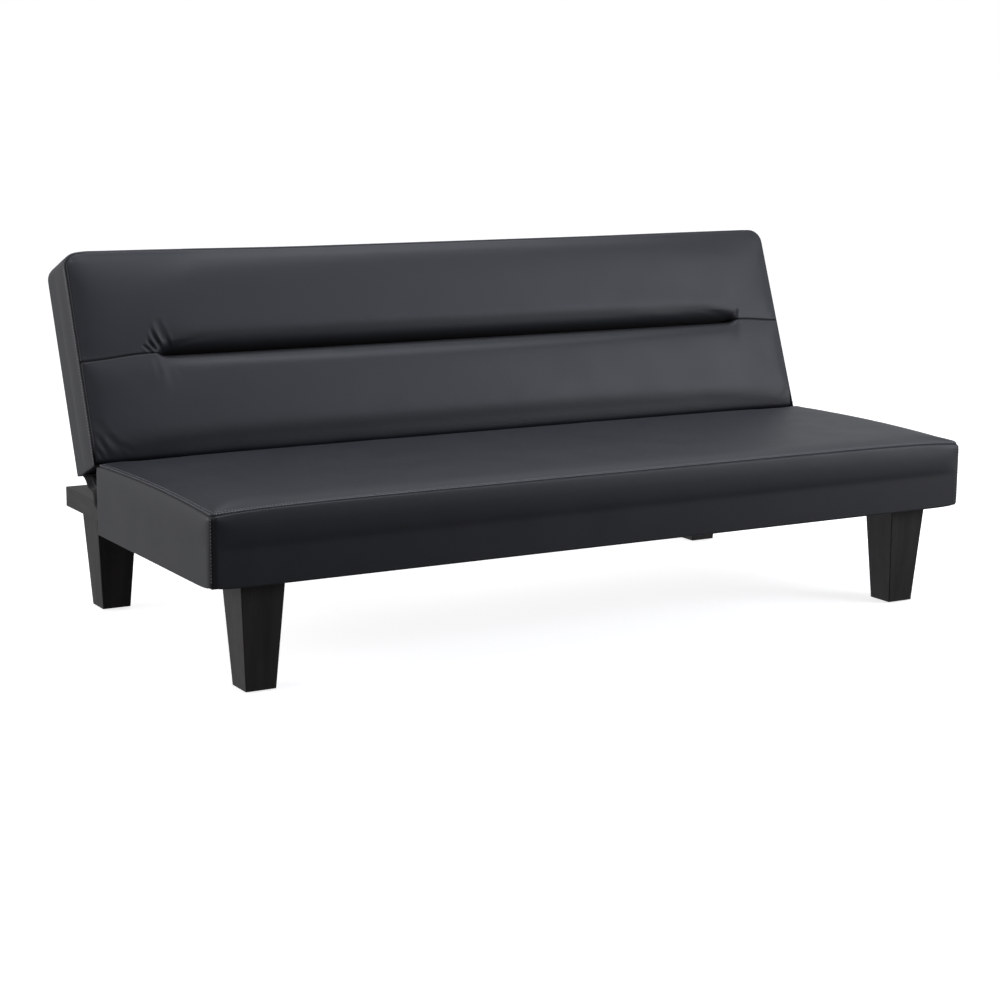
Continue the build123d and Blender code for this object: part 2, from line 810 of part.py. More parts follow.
with BuildPart() as back_lower_foam:
    x = half_width - skin
    up = (skin_gap, groove_height - groove_gap / 2)
    back_block((-x, x), up, (skin, webbing_face))
    for side in ENDS.values():
        hinge_relief(side)
save(back_lower_foam, "back_lower_foam")

with BuildPart() as back_upper_foam:
    back_slab(skin, (skin, webbing_face), groove_height + groove_gap / 2)
save(back_upper_foam, "back_upper_foam")

with BuildPart() as groove_listing:
    x = (-half_width + listing_left_inset, half_width - listing_right_inset)
    half = listing_thickness / 2
    back_block(x, (groove_height - half, groove_height + half), (skin, frame_face_depth))
save(groove_listing, "groove_listing")

with BuildPart() as back_rear_panel:
    back_slab(skin, (frame_rear_depth, frame_rear_depth + panel_thickness), frame_rise)
save(back_rear_panel, "back_rear_panel")


with BuildPart() as back_fibre_wrap:
    inner_rear = frame_rear_depth + panel_thickness
    back_slab(cover_thickness, (cover_thickness, back_thickness - cover_thickness), 0)
    back_slab(skin, (skin, inner_rear), 0, Mode.SUBTRACT)
save(back_fibre_wrap, "back_fibre_wrap")

with BuildPart() as back_cover:
    back_slab(0, (0, back_thickness), 0)
    inner = (cover_thickness, back_thickness - cover_thickness)
    back_slab(cover_thickness, inner, 0, Mode.SUBTRACT)
save(back_cover, "back_cover")


# ---------------------------------------------------------------- loose cloth behind the seat
with BuildPart() as gap_cover:
    x = half_width - 2 * cover_thickness
    low = (seat_rear + cover_thickness, rail_top + gap_cloth_thickness + flat_clearance)
    high = back_point(-flat_clearance, frame_rear_depth - gap_cloth_tuck)
    middle = tuple(low[i] + (high[i] - low[i]) * gap_cloth_belly[i] for i in (0, 1))
    with BuildSketch(Plane.YZ.offset(-x)):
        with BuildLine():
            first = ThreePointArc(low, middle, high)
            second = offset(first, gap_cloth_thickness, side=Side.LEFT)
        make_face()
    extrude(amount=2 * x)
save(gap_cover, "gap_cover")
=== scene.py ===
# %% [markdown]
# # A click-clack sofa bed, built cell by cell
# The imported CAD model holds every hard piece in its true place: legs, rails, timber frame,
# hinges and springs. This lesson adds what CAD draws badly, which is soft upholstery, and gives
# every piece the finish of its real material. The frame is loaded first and is never moved.

# %% Load the frame
import json
from math import cos, pi, radians, sin

import bpy
import numpy as np
from mathutils import Matrix, Vector
from mathutils.bvhtree import BVHTree


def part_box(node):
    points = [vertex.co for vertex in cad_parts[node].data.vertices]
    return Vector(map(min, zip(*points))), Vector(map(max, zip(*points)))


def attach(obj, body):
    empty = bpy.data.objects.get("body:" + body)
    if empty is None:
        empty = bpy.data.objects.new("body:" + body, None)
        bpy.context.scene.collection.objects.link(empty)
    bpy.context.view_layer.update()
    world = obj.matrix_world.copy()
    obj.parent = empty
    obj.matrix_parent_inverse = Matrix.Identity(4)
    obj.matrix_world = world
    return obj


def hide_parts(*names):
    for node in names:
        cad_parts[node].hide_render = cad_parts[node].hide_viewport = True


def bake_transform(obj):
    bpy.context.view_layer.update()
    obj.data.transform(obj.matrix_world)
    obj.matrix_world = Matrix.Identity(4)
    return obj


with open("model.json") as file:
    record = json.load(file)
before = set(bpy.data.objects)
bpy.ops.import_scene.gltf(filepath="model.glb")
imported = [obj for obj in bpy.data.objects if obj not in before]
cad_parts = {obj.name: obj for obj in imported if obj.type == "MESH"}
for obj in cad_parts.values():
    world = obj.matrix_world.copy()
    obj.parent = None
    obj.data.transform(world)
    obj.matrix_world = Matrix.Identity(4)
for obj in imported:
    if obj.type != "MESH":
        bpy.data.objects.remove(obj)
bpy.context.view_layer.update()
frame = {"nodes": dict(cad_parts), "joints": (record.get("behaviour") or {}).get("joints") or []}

mm = 0.001

# %% [markdown]
# The places that everything else follows from are read off the frame: the box of the seat
# cover, and the hinge line. The back leans, so it is modelled standing upright in its own frame,
# whose origin is the lower front edge of the back cushion, and is tilted into place at the end.

# %% Places
seat_low, seat_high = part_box("seat_cover")
half_width = seat_high.x
recline = next(j for j in frame["joints"] if j["name"] == "back_recline")
hinge = Vector(recline["pos_m"])
rake = radians(21)
back_up = Vector((0, sin(rake), cos(rake)))
back_rear = Vector((0, cos(rake), -sin(rake)))
hinge_drop, hinge_set_back = 13.1 * mm, 44 * mm
back_foot = hinge + back_up * hinge_drop - back_rear * hinge_set_back
back_size = (half_width * 2, 108 * mm, 428 * mm)
tilt = Matrix.Translation(back_foot) @ Matrix.Rotation(-rake, 4, "X")
print("seat", [round(v, 3) for v in seat_low], [round(v, 3) for v in seat_high])
print("back foot", [round(v, 4) for v in back_foot], "hinge", [round(v, 4) for v in hinge])

# %% [markdown]
# A camera is a position, a direction and a lens. This one stands to the left of the sofa at
# about the height of a person's chest, looks slightly down, and has a long lens, which is what
# keeps the legs nearly upright in a catalogue picture.

# %% Camera
yaw, pitch, roll = 0.524, 0.190, 0.008
forward = Vector((sin(yaw) * cos(pitch), cos(yaw) * cos(pitch), -sin(pitch)))
level = Vector((cos(yaw), -sin(yaw), 0))
above = level.cross(forward)
side = cos(roll) * level + sin(roll) * above
top = -sin(roll) * level + cos(roll) * above
bpy.ops.object.camera_add(location=(-2.33475, -3.93976, 1.09061))
camera = bpy.context.object
turned = Matrix((side, top, -forward)).transposed().to_4x4()
camera.matrix_world = Matrix.Translation(camera.location) @ turned
camera.data.sensor_width, camera.data.lens = 36, 80.9
camera.data.shift_x, camera.data.shift_y = 0.0179, 0.0036
bpy.context.scene.camera = camera

# %% [markdown]
# Modelling tools act on whatever is selected, so each step starts by selecting one object and
# nothing else. These helpers read and write all of a mesh's points at once, mark the vertices,
# edges or faces that a tool should act on, and keep a number on every point, which later steps
# and materials read back.

# %% Small tools
def only(obj):
    """Select this one object and make it active."""
    if bpy.context.object and bpy.context.object.mode != "OBJECT":
        bpy.ops.object.mode_set(mode="OBJECT")
    bpy.ops.object.select_all(action="DESELECT")
    obj.select_set(True)
    bpy.context.view_layer.objects.active = obj


def triples(items, field):
    flat = np.empty(len(items) * 3, np.float32)
    items.foreach_get(field, flat)
    return flat.reshape(-1, 3).astype(float)


def points_of(obj):
    return triples(obj.data.vertices, "co")


def put_points(obj, places):
    obj.data.vertices.foreach_set("co", np.asarray(places, np.float32).ravel())
    obj.data.update()


def normals_of(obj):
    return triples(obj.data.vertex_normals, "vector")


def mark(obj, kind, wanted):
    """Open the object in edit mode with only the wanted vertices, edges or faces selected."""
    only(obj)
    mesh = obj.data
    groups = {"VERT": mesh.vertices, "EDGE": mesh.edges, "FACE": mesh.polygons}
    bpy.context.tool_settings.mesh_select_mode = [kind == name for name in groups]
    for group in groups.values():
        group.foreach_set("select", np.zeros(len(group), bool))
    groups[kind].foreach_set("select", wanted)
    bpy.ops.object.mode_set(mode="EDIT")


def keep(obj, name, values):
    """Keep a number on every point."""
    found = obj.data.attributes.get(name)
    found = found or obj.data.attributes.new(name, "FLOAT", "POINT")
    found.data.foreach_set("value", np.asarray(values, np.float32))


def kept(obj, name):
    values = np.empty(len(obj.data.vertices), np.float32)
    obj.data.attributes[name].data.foreach_get("value", values)
    return values.astype(float)


def apply_modifier(obj, kind, **settings):
    only(obj)
    modifier = obj.modifiers.new(kind.title(), kind)
    for name, value in settings.items():
        setattr(modifier, name, value)
    bpy.ops.object.modifier_apply(modifier=modifier.name)


def ease(value):
    """0 below 0, 1 above 1, and a smooth S between."""
    value = np.clip(value, 0, 1)
    return value * value * (3 - 2 * value)


def bell(value):
    return np.exp(-0.5 * np.asarray(value) ** 2)


# %% [markdown]
# A cushion starts as a cube of its own size. To bend it, it needs many small faces, and it needs
# the smallest ones where the seams are. Bisect cuts the cube at a few chosen places, and then
# Subdivide divides each stretch between two places into as many strips as are wanted there.

# %% A block cut into strips
def block(name, low, high):
    low, high = Vector(low), Vector(high)
    bpy.ops.object.select_all(action="DESELECT")
    bpy.ops.mesh.primitive_cube_add(size=1, location=(low + high) / 2, scale=high - low)
    obj = bpy.context.object
    bpy.ops.object.transform_apply(location=True, rotation=False, scale=True)
    obj.name = obj.data.name = name
    return obj


def cut_into_strips(obj, axis, stretches):
    """stretches is (place, strips up to the next place), ..., from end to end."""
    point, across = [0, 0, 0], [0, 0, 0]
    across[axis] = 1
    only(obj)
    bpy.ops.object.mode_set(mode="EDIT")
    for place, _ in stretches[1:-1]:
        point[axis] = place
        bpy.ops.mesh.select_all(action="SELECT")
        bpy.ops.mesh.bisect(plane_co=point, plane_no=across)
    bpy.ops.object.mode_set(mode="OBJECT")
    for (low, strips), (high, _) in zip(stretches, stretches[1:]):
        ends = np.empty(len(obj.data.edges) * 2, np.int32)
        obj.data.edges.foreach_get("vertices", ends)
        a, b = points_of(obj)[ends.reshape(-1, 2)].transpose(1, 0, 2)
        middle = (a + b)[:, axis] / 2
        along = (abs(a - b)[:, axis] > 1e-6) & (middle > low) & (middle < high)
        mark(obj, "EDGE", along)
        bpy.ops.mesh.subdivide(number_cuts=strips - 1)
        bpy.ops.object.mode_set(mode="OBJECT")


# %% [markdown]
# Foam under a tight cover has no sharp edge. The next helper rounds one long edge all the way
# round a cushion's face: a point's distance in from the face's outline and its distance down
# from the face are bent onto a quarter circle. On the way it measures how far each point lies
# from the line where the two panels of the cover are sewn together, because the seam, its
# stitches and its shadow are all drawn from that number later.

# %% Round an edge and measure its seam
def outline(across, along, half, top_edge, corner, low_edge=0.0):
    """Bend a rectangle's corners onto arcs. Returns the new places, each point's outward
    direction, and how far in from the outline it lies."""
    across, along = across.copy(), along.copy()
    inset = np.minimum(half - abs(across), np.minimum(top_edge - along, along - low_edge))
    out_x = np.where(half - abs(across) <= inset + 1e-9, np.sign(across), 0.0)
    out_y = np.where(top_edge - along <= inset + 1e-9, 1.0, 0.0)
    out_y = np.where(along - low_edge <= inset + 1e-9, -1.0, out_y)
    for end in (-1, 1):
        dx, dy = end * across - (half - corner), along - (top_edge - corner)
        near = (dx > 0) & (dy > 0)
        length = np.hypot(dx, dy)[near]
        reach = np.maximum(dx, dy)[near]
        out_x[near], out_y[near] = end * dx[near] / length, dy[near] / length
        across[near] = end * (half - corner) + out_x[near] * reach
        along[near] = top_edge - corner + out_y[near] * reach
    size = np.maximum(np.hypot(out_x, out_y), 1e-9)
    return across, along, out_x / size, out_y / size, inset


def round_over(inset, depth, radius, seam_at):
    """Bend the edge between two faces. seam_at is the seam's angle round the edge, in degrees
    from the face. Returns the new inset and depth, and the distance from the seam."""
    a, b = radius - inset, radius - depth
    bent = (a > 0) & (b > 0)
    length = np.maximum(np.hypot(a, b), 1e-9)
    scale = np.where(bent, np.maximum(a, b) / length, 1.0)
    angle = np.arctan2(np.maximum(a, 0), np.maximum(b, 1e-9))
    seam = radius * (radians(seam_at) - angle)
    flat = inset >= radius
    seam = np.where(flat, radius * radians(seam_at) + inset - radius, seam)
    walls = (depth >= radius) & ~flat
    seam = np.where(walls, radius * (radians(seam_at) - pi / 2) - depth + radius, seam)
    return radius - a * scale, radius - b * scale, seam


# %% [markdown]
# Soft goods are what cloth simulation is for. The cover is blown up gently from inside, as the
# foam and wadding press on it, while the points that are sewn down or lie on the timber are
# held. No point may move further than it is allowed, and the limit is a soft one, so that the
# cover never shows a plateau where it was stopped.

# %% Swell a cushion
def swell(obj, held, allowed, pressure, frames=16):
    """held is 0 to 1 for every point, and allowed the furthest it may move, in metres."""
    start = points_of(obj)
    group = obj.vertex_groups.new(name="held")
    for weight in np.unique(np.round(held, 1)):
        if weight > 0:
            group.add(np.flatnonzero(np.round(held, 1) == weight).tolist(), weight, "REPLACE")
    only(obj)
    bpy.ops.object.modifier_add(type="CLOTH")
    cloth = obj.modifiers[-1]
    cloth.settings.quality = 4
    cloth.settings.mass = 0.3
    cloth.settings.tension_stiffness = cloth.settings.compression_stiffness = 15
    cloth.settings.bending_stiffness = 2
    cloth.settings.use_pressure = True
    cloth.settings.uniform_pressure_force = pressure
    cloth.settings.vertex_group_mass = "held"
    cloth.settings.effector_weights.gravity = 0
    cloth.point_cache.frame_start, cloth.point_cache.frame_end = 1, frames
    scene = bpy.context.scene
    for step in range(1, frames + 1):
        scene.frame_set(step)
    bpy.ops.object.modifier_apply(modifier=cloth.name)
    scene.frame_set(1)
    obj.vertex_groups.clear()
    moved = points_of(obj) - start
    far = np.maximum(np.linalg.norm(moved, axis=1), 1e-9)
    limit = np.maximum(allowed, 1e-7)
    put_points(obj, start + moved * (limit * np.tanh(far / limit) / far)[:, None])
    print(obj.name, "swelled by up to", round(far.max() * 1000, 1), "mm before the limit")


# %% [markdown]
# ## The seat cushion
# The real seat is a timber frame with sinuous springs, a felt pad, a slab of foam and a cover of
# artificial leather with a skirt that hides the frame. The cover is sewn from a top panel and a
# border, so its edge is a line all round, and the foam crowns the top panel in the middle.

# %% Seat cushion
seat_top = seat_high.z - 4 * mm
seat_edge = 16 * mm
skirt_foot = seat_low.z
seat = block("seat_cushion", seat_low, (seat_high.x, seat_high.y, seat_top))
end = half_width
cut_into_strips(seat, 0, [(-end, 6), (-.830, 16), (-.70, 70), (.70, 16), (.830, 6), (end, 0)])
front, rear = seat_low.y, seat_high.y
cut_into_strips(seat, 1, [(front, 6), (front + .018, 10), (-.35, 24),
                          (.045, 9), (rear - .018, 6), (rear, 0)])
cut_into_strips(seat, 2, [(skirt_foot, 4), (skirt_foot + .012, 7), (skirt_foot + .07, 8),
                          (seat_top - .018, 6), (seat_top, 0)])

x, y, z = points_of(seat).T
# The outline helper rounds the corners at its top edge, so the seat's front is turned that way.
across, along, out_x, out_y, inset = outline(x, -y, half_width, -front, seat_edge, -rear)
in_new, depth_new, seam = round_over(inset, seat_top - z, seat_edge, 50)
pull = in_new - inset
x_new, y_new = across - out_x * pull, -(along - out_y * pull)
z_new = seat_top - depth_new
turn = np.arctan2(abs(out_x), out_y)
corner_seam = seat_edge * (turn - radians(35)) - np.maximum(half_width - seat_edge - abs(x), 0)
corner_seam += np.maximum(y - front - seat_edge, 0)
keep(seat, "seam", seam)
keep(seat, "corner_seam", corner_seam)
keep(seat, "border", 1 - ease(inset / seat_edge))


def seat_lift(x, y):
    """How far the foam lifts the cover's edge above its lowest corners, the two in front."""
    to_end = 1 - np.exp(-(half_width - abs(x)) / .08)
    to_rear = np.clip((y - front) / (rear - front), 0, 1)
    at_end = 9.5 * np.sin(pi * to_rear) ** .8 + 4.5 * to_rear ** 3
    return (9.0 * to_end + at_end * (1 - to_end)) * mm


z_new += seat_lift(x, y) * ease((z_new - skirt_foot - .085) / .040)
# The skirt's lower front corners are drawn up a little where the cover is folded round them.
to_corner = np.hypot(half_width - abs(x_new), y_new - front)
z_new += 8 * mm * np.exp(-to_corner / .014) * (1 - ease((z_new - skirt_foot) / .05))
put_points(seat, np.column_stack([x_new, y_new, z_new]))

held = np.where((z < skirt_foot + .072) | (y > rear - .002), 1.0, 0.0)
held = np.maximum(held, (abs(seam) < .003) | ((abs(corner_seam) < .004) & (inset < seat_edge)))
allowed = np.where(inset > .006, 5.0, 3.0) * mm
swell(seat, held, allowed, 4)
apply_modifier(seat, "SUBSURF", levels=1, render_levels=1)
print("seat cushion", len(seat.data.polygons), "faces")

# %% [markdown]
# A seam is a narrow valley: the two panels dive into it, and the allowance folded under one side
# lifts that side by half a millimetre or so. Moving points along their normals by a bell curve of
# their distance from the seam draws both. The shade at the bottom of the valley is kept as a
# number on the points too, and the material paints it into the colour: painted shade.

# %% Press the seams in
def press_seams(obj, seams):
    """seams is (distance from the seam, strength), ..."""
    depth, shade = 0.0, 0.0
    for distance, strength in seams:
        valley = bell(distance / (1.2 * mm)) * strength
        raised = bell((distance - 4.6 * mm) / (2.4 * mm)) * strength
        depth = depth + 1.2 * mm * valley - 0.3 * mm * raised
        # Painted shade: this number darkens the colour at the bottom of the seam's valley.
        shade = np.maximum(shade, bell(distance / (1.1 * mm)) * strength)
    put_points(obj, points_of(obj) - normals_of(obj) * np.asarray(depth)[:, None])
    keep(obj, "painted_shade", shade)


press_seams(seat, [(kept(seat, "seam"), 1.0), (kept(seat, "corner_seam"), 0.6 * kept(seat, "border"))])

# %% [markdown]
# ## The back cushion
# The back is one cover over two rolls of foam. A strip of cloth, sewn to the cover on the inside
# and stapled to a rail in the frame, pulls the cover in between them, and that makes the deep
# groove. The strip stops short of both ends, where only a plain seam runs on, and the leather
# puckers where the pull stops. The upper roll hangs over the groove and the lower one starts
# sharply below it, so the two sides of the groove have different widths.

# %% Back cushion
width, thick, tall = back_size
back_edge, back_corner, seam_turn = 14 * mm, 31 * mm, 40
back = block("back_cushion", (-end, 0, 0), (end, thick, tall))
cut_into_strips(back, 0, [(-end, 6), (-.832, 42), (-.58, 58), (.58, 42), (.832, 6), (end, 0)])
groove_up = 215 * mm
roll_below, roll_above = 15 * mm, 24 * mm
cut_into_strips(back, 2, [(0, 4), (.014, 20), (groove_up - roll_below, 12), (groove_up, 16),
                          (groove_up + roll_above, 14), (tall - back_edge - .014, 3),
                          (tall - back_edge, 5), (tall, 0)])
cut_into_strips(back, 1, [(0, 5), (.014, 8), (.060, 6), (thick - .010, 4), (thick, 0)])

x, v, u = points_of(back).T
across, along, out_x, out_u, inset = outline(x, u, half_width, tall, back_corner)
front_in, front_v, seam = round_over(inset, v, back_edge, seam_turn)
rear_in, rear_v, rear_seam = round_over(inset, thick - v, 6 * mm, 60)
at_front = v < thick / 2
pull = np.where(at_front, front_in, rear_in) - inset
x_new, u_new = across - out_x * pull, along - out_u * pull
v_new = np.where(at_front, front_v, thick - rear_v)
keep(back, "seam", np.where(at_front, seam, 1.0))
keep(back, "rear_seam", np.where(at_front, 1.0, rear_seam))

# Only the front panel has the groove and the two rolls.
from_edges = ease((half_width - abs(x)) / .034) * ease((tall - u) / .034) * ease(u / .024)
face = np.where(v < 1e-6, from_edges, 0.0)
open_from, open_to = -676 * mm, 722 * mm
groove = ease((x - open_from + .010) / .028) * ease((open_to + .008 - x) / .026)
line = groove_up - 9 * mm * ease((-x - .70) / .14) - 6 * mm * ease((x - .735) / .10)
t = u - groove_up
share = np.where(t >= 0, t / roll_above, -t / roll_below)
near = share < 1
share = np.clip(share, 0, 1)
reach = np.where(t >= 0, roll_above, -roll_below)
curled = reach * (1 - np.cos(share * pi / 2))
t_new = np.where(near, t + (curled - t) * groove * face, t)
groove_depth = 34 * mm * groove * (1 - np.sin(share * pi / 2))
shift = (line - groove_up) * (1 - ease(abs(t) / .07))
u_new = np.where(v < 1e-6, u_new + (t_new - t) + shift, u_new)
keep(back, "groove_t", np.where((v < 1e-6), t, 1.0))
keep(back, "groove_open", groove)

upper = np.clip((u - groove_up) / (tall - groove_up), 0, 1)
lower = np.clip((groove_up - u) / groove_up, 0, 1)
roll = np.where(t >= 0, 7 * (1 - abs(2 * upper - 1) ** 2.6), 5 * (1 - abs(2 * lower - 1) ** 2.2))
# The upper roll sags over the groove, and the lower roll is turned under at its foot.
roll += np.where(t >= 0, 3.5 * bell((t - .024) / .024) * ease(t / .012), 0.0) * groove
turned_under = 19 * mm * (1 - np.sqrt(1 - np.clip(1 - u / .062, 0, 1) ** 2)) * (v < 1e-6)
to_end = 1 - np.exp(-(half_width - abs(x)) / .07)
# Away from the groove the two rolls run into each other, so the dip between them fades out.
bridge = 5 * (1 - groove) * bell(t / .04)
crown = (roll + bridge) * mm * to_end * face
v_new = v_new - crown + groove_depth * face + turned_under
# The two top corners stand up a little, because the cover is pulled over the frame's corners.
from_end = half_width - abs(x)
near_corner = ease(from_end / .06) * (1 - ease((from_end - .1) / .45)) * ease((u - .30) / .12)
u_new += (3.2 - 1.3 * np.sign(x)) * mm * near_corner
put_points(back, np.column_stack([x_new, v_new, u_new]))

held = np.where((v > .058) | (u < .001), 1.0, 0.0)
held = np.maximum(held, abs(seam) < .003)
held = np.maximum(held, ((abs(t) < .004) & (v < 1e-6)))
allowed = np.where(v < 1e-6, 4.5, 2.5) * mm
allowed = np.where(near & (v < 1e-6), (4.5 * share ** 1.5 * groove + 4.5 * (1 - groove)) * mm, allowed)
allowed = allowed * np.where(v < 1e-6, ease((u - .004) / .06), 1.0)
swell(back, held, allowed, 4)
apply_modifier(back, "SUBSURF", levels=1, render_levels=1)
print("back cushion", len(back.data.polygons), "faces")

# %% [markdown]
# Leather under tension wrinkles across the pull. Every crease here is a short valley between two
# points of the back's front panel, with its own width and depth, and a soft ridge on each side.
# The short deep ones fan out from the two ends of the groove, and the longer soft ones run down
# towards the lower corners, where the cover is turned under.

# %% Creases
def crease(obj, start, finish, depth, width):
    """start and finish are (across, up) on the front panel, depth and width in mm."""
    places = points_of(obj)
    on_front = normals_of(obj)[:, 1] < -0.2
    a, b = np.array(start) * mm, np.array(finish) * mm
    length = np.linalg.norm(b - a)
    run, off = (b - a) / length, np.array([-(b - a)[1], (b - a)[0]]) / length
    here = places[:, [0, 2]] - a
    s, w = here @ run / length, here @ off / (width * mm)
    taper = np.sin(pi * np.clip(s, 0, 1) ** 0.7) * ((s > 0) & (s < 1))
    shape = bell(w) - 0.45 * bell((abs(w) - 2.1) / 0.8)
    places[:, 1] += depth * mm * shape * taper * on_front
    put_points(obj, places)
    # Each crease also returns where shade is painted into the leather's colour along its valley.
    return bell(w) * taper * on_front * min(depth / 4, 0.7)


fold_painted_shade = 0.0
for start, finish, depth, width in [
    ((-694, 260), (-670, 215), 3.0, 2.8), ((-703, 242), (-682, 214), 2.4, 2.3),
    ((-713, 232), (-694, 213), 1.6, 2.2), ((-680, 284), (-660, 221), 0.9, 5.0),
    ((-664, 246), (-652, 219), 0.9, 3.2), ((731, 240), (723, 214), 2.0, 2.4),
    ((-690, 210), (-686, 158), 0.6, 5.0), ((-674, 208), (-664, 146), 0.5, 6.0),
    ((-836, 62), (-810, 12), 0.9, 3.8), ((-814, 58), (-780, 18), 0.8, 5.2),
    ((-792, 40), (-758, 20), 0.5, 4.0), ((-839, 34), (-822, 10), 0.8, 2.8),
    ((-832, 92), (-806, 40), 0.4, 6.0), ((836, 56), (806, 14), 0.5, 4.5),
]:
    fold_painted_shade = np.maximum(fold_painted_shade, crease(back, start, finish, depth, width))

groove_open, groove_t = kept(back, "groove_open"), kept(back, "groove_t")
end_seam = (1 - groove_open) * ease((abs(points_of(back)[:, 0]) - .5) / .05)
press_seams(back, [(kept(back, "seam"), 1.0), (kept(back, "rear_seam"), 0.7), (groove_t, 1.1 * end_seam)])
# Painted shade: the leather deep in the groove, along the creases and in the seams is darkened in its colour.
groove_painted_shade = bell(groove_t / .009) * groove_open
keep(back, "painted_shade", np.maximum(np.maximum(kept(back, "painted_shade"), groove_painted_shade), fold_painted_shade))
back.data.transform(tilt)
back.data.update()
for word, corner in (("low", points_of(back).min(0)), ("high", points_of(back).max(0))):
    print("back cushion", word, [round(v, 3) for v in corner])


# %% [markdown]
# ## Finishes
# A material is a small network of nodes. One helper adds a node with its settings and its
# inputs, where an input is either a value or another node's output. Colours are written the way
# a colour picker shows them and are turned to linear light here. Patterns read the object's own
# coordinates, in metres, so a pattern's scale is one over its real size.

# %% Material tools
def colour(hex_code):
    parts = [int(hex_code[i:i + 2], 16) / 255 for i in (1, 3, 5)]
    return (*[c / 12.92 if c <= 0.04045 else ((c + 0.055) / 1.055) ** 2.4 for c in parts], 1.0)


def add(tree, kind, inputs=None, **settings):
    """Add one node. inputs holds values, or outputs to link, by socket name or number."""
    node = tree.nodes.new(kind)
    for name, value in settings.items():
        setattr(node, name, value)
    for name, value in (inputs or {}).items():
        if isinstance(value, bpy.types.NodeSocket):
            tree.links.new(value, node.inputs[name])
        else:
            node.inputs[name].default_value = value
    return node


def new_finish(name, **shader_inputs):
    """A material with a shader and the object's coordinates to start a pattern from."""
    material = bpy.data.materials.new(name)
    material.use_nodes = True
    tree = material.node_tree
    shader = tree.nodes["Principled BSDF"]
    for socket, value in shader_inputs.items():
        shader.inputs[socket.replace("_", " ")].default_value = value
    return material, tree, shader, add(tree, "ShaderNodeTexCoord").outputs["Object"]


def blotches(tree, where, size, stretch=(1, 1, 1), detail=4.0, rough=0.55):
    """Noise whose patches are about size metres across, longer along the stretched axes."""
    scaled = add(tree, "ShaderNodeMapping", {"Vector": where, "Scale": [1 / s for s in stretch]})
    inputs = {"Vector": scaled.outputs[0], "Scale": 1 / size, "Detail": detail, "Roughness": rough}
    return add(tree, "ShaderNodeTexNoise", inputs).outputs["Fac"]


def between(tree, share, low, high, low_at=0.3, high_at=0.7):
    """Run a value or a colour from low to high as share goes from low_at to high_at."""
    inputs = {"Value": share, "From Min": low_at, "From Max": high_at, "To Min": 0.0, "To Max": 1.0}
    if isinstance(low, float):
        inputs.update({"To Min": low, "To Max": high})
    run = add(tree, "ShaderNodeMapRange", inputs).outputs[0]
    if isinstance(low, float):
        return run
    mixed = add(tree, "ShaderNodeMix", {0: run, 6: low, 7: high}, data_type="RGBA")
    return mixed.outputs[2]


def finish_with(tree, shader, base=None, rough=None, height=None, relief=0.0, strength=1.0):
    """Link colour, roughness and bump into the shader. relief is the bump's height in metres."""
    if base:
        tree.links.new(base, shader.inputs["Base Color"])
    if rough:
        tree.links.new(rough, shader.inputs["Roughness"])
    if height:
        bump = add(tree, "ShaderNodeBump", {"Height": height, "Distance": relief, "Strength": strength})
        tree.links.new(bump.outputs[0], shader.inputs["Normal"])


# %% [markdown]
# Artificial leather is a knitted backing with a skin of polyurethane that was cast on embossed
# paper, so it has a shallow pebble grain, a soft gloss, and hardly any colour of its own. The
# grain is about 1 mm across on the real skin and is drawn at 2.5 mm, so that it shows. Where a
# seam, the groove or a crease dives in, the number kept on the points paints shade into the skin.

# %% Artificial leather
leather, tree, shader, where = new_finish("polyurethane artificial leather", IOR=1.5)
pebble = add(tree, "ShaderNodeTexVoronoi", {"Vector": where, "Scale": 1 / (2.5 * mm), "Smoothness": 0.6},
             feature="SMOOTH_F1").outputs["Distance"]
handling = blotches(tree, where, 90 * mm, detail=3.0)
clouds = blotches(tree, where, 260 * mm, detail=2.0)
skin = between(tree, handling, colour("#1a1c21"), colour("#1e2026"))
skin = add(tree, "ShaderNodeMix", {0: between(tree, clouds, 0.0, 0.5), 6: skin, 7: colour("#1c1d22")},
           data_type="RGBA").outputs[2]
shade_to_paint = add(tree, "ShaderNodeAttribute", attribute_name="painted_shade").outputs["Fac"]
# Painted shade: the skin's colour runs towards near black where the kept number is high.
skin = add(tree, "ShaderNodeMix", {0: shade_to_paint, 6: skin, 7: colour("#060607")}, data_type="RGBA").outputs[2]
rough = add(tree, "ShaderNodeMath", {0: shade_to_paint, 1: 0.3, 2: between(tree, handling, 0.49, 0.54)},
            operation="MULTIPLY_ADD").outputs[0]
finish_with(tree, shader, skin, rough, pebble, 0.12 * mm, 0.6)

# %% [markdown]
# The seams are topstitched with polyester thread, which is a shade lighter than the leather and
# has a slight silky gloss. The twist of its strands is about 1 mm long.

# %% Sewing thread
thread, tree, shader, where = new_finish("twisted polyester thread", Roughness=0.5)
twist = add(tree, "ShaderNodeTexWave", {"Vector": where, "Scale": 300.0, "Distortion": 1.0},
            bands_direction="DIAGONAL").outputs["Fac"]
strands = between(tree, twist, colour("#5c5d63"), colour("#87888e"))
finish_with(tree, shader, strands, height=twist, relief=0.1 * mm)

# %% [markdown]
# The legs and rails are rubberwood under a black-brown stain and a thin satin lacquer. The stain
# sinks into the open pores, so the grain shows as fine dark streaks along the wood. The streaks
# are about 0.7 mm wide on the real wood and are drawn at 2 mm. Grain runs down a leg and along
# a rail, so wood is one function with the grain's direction as a value.

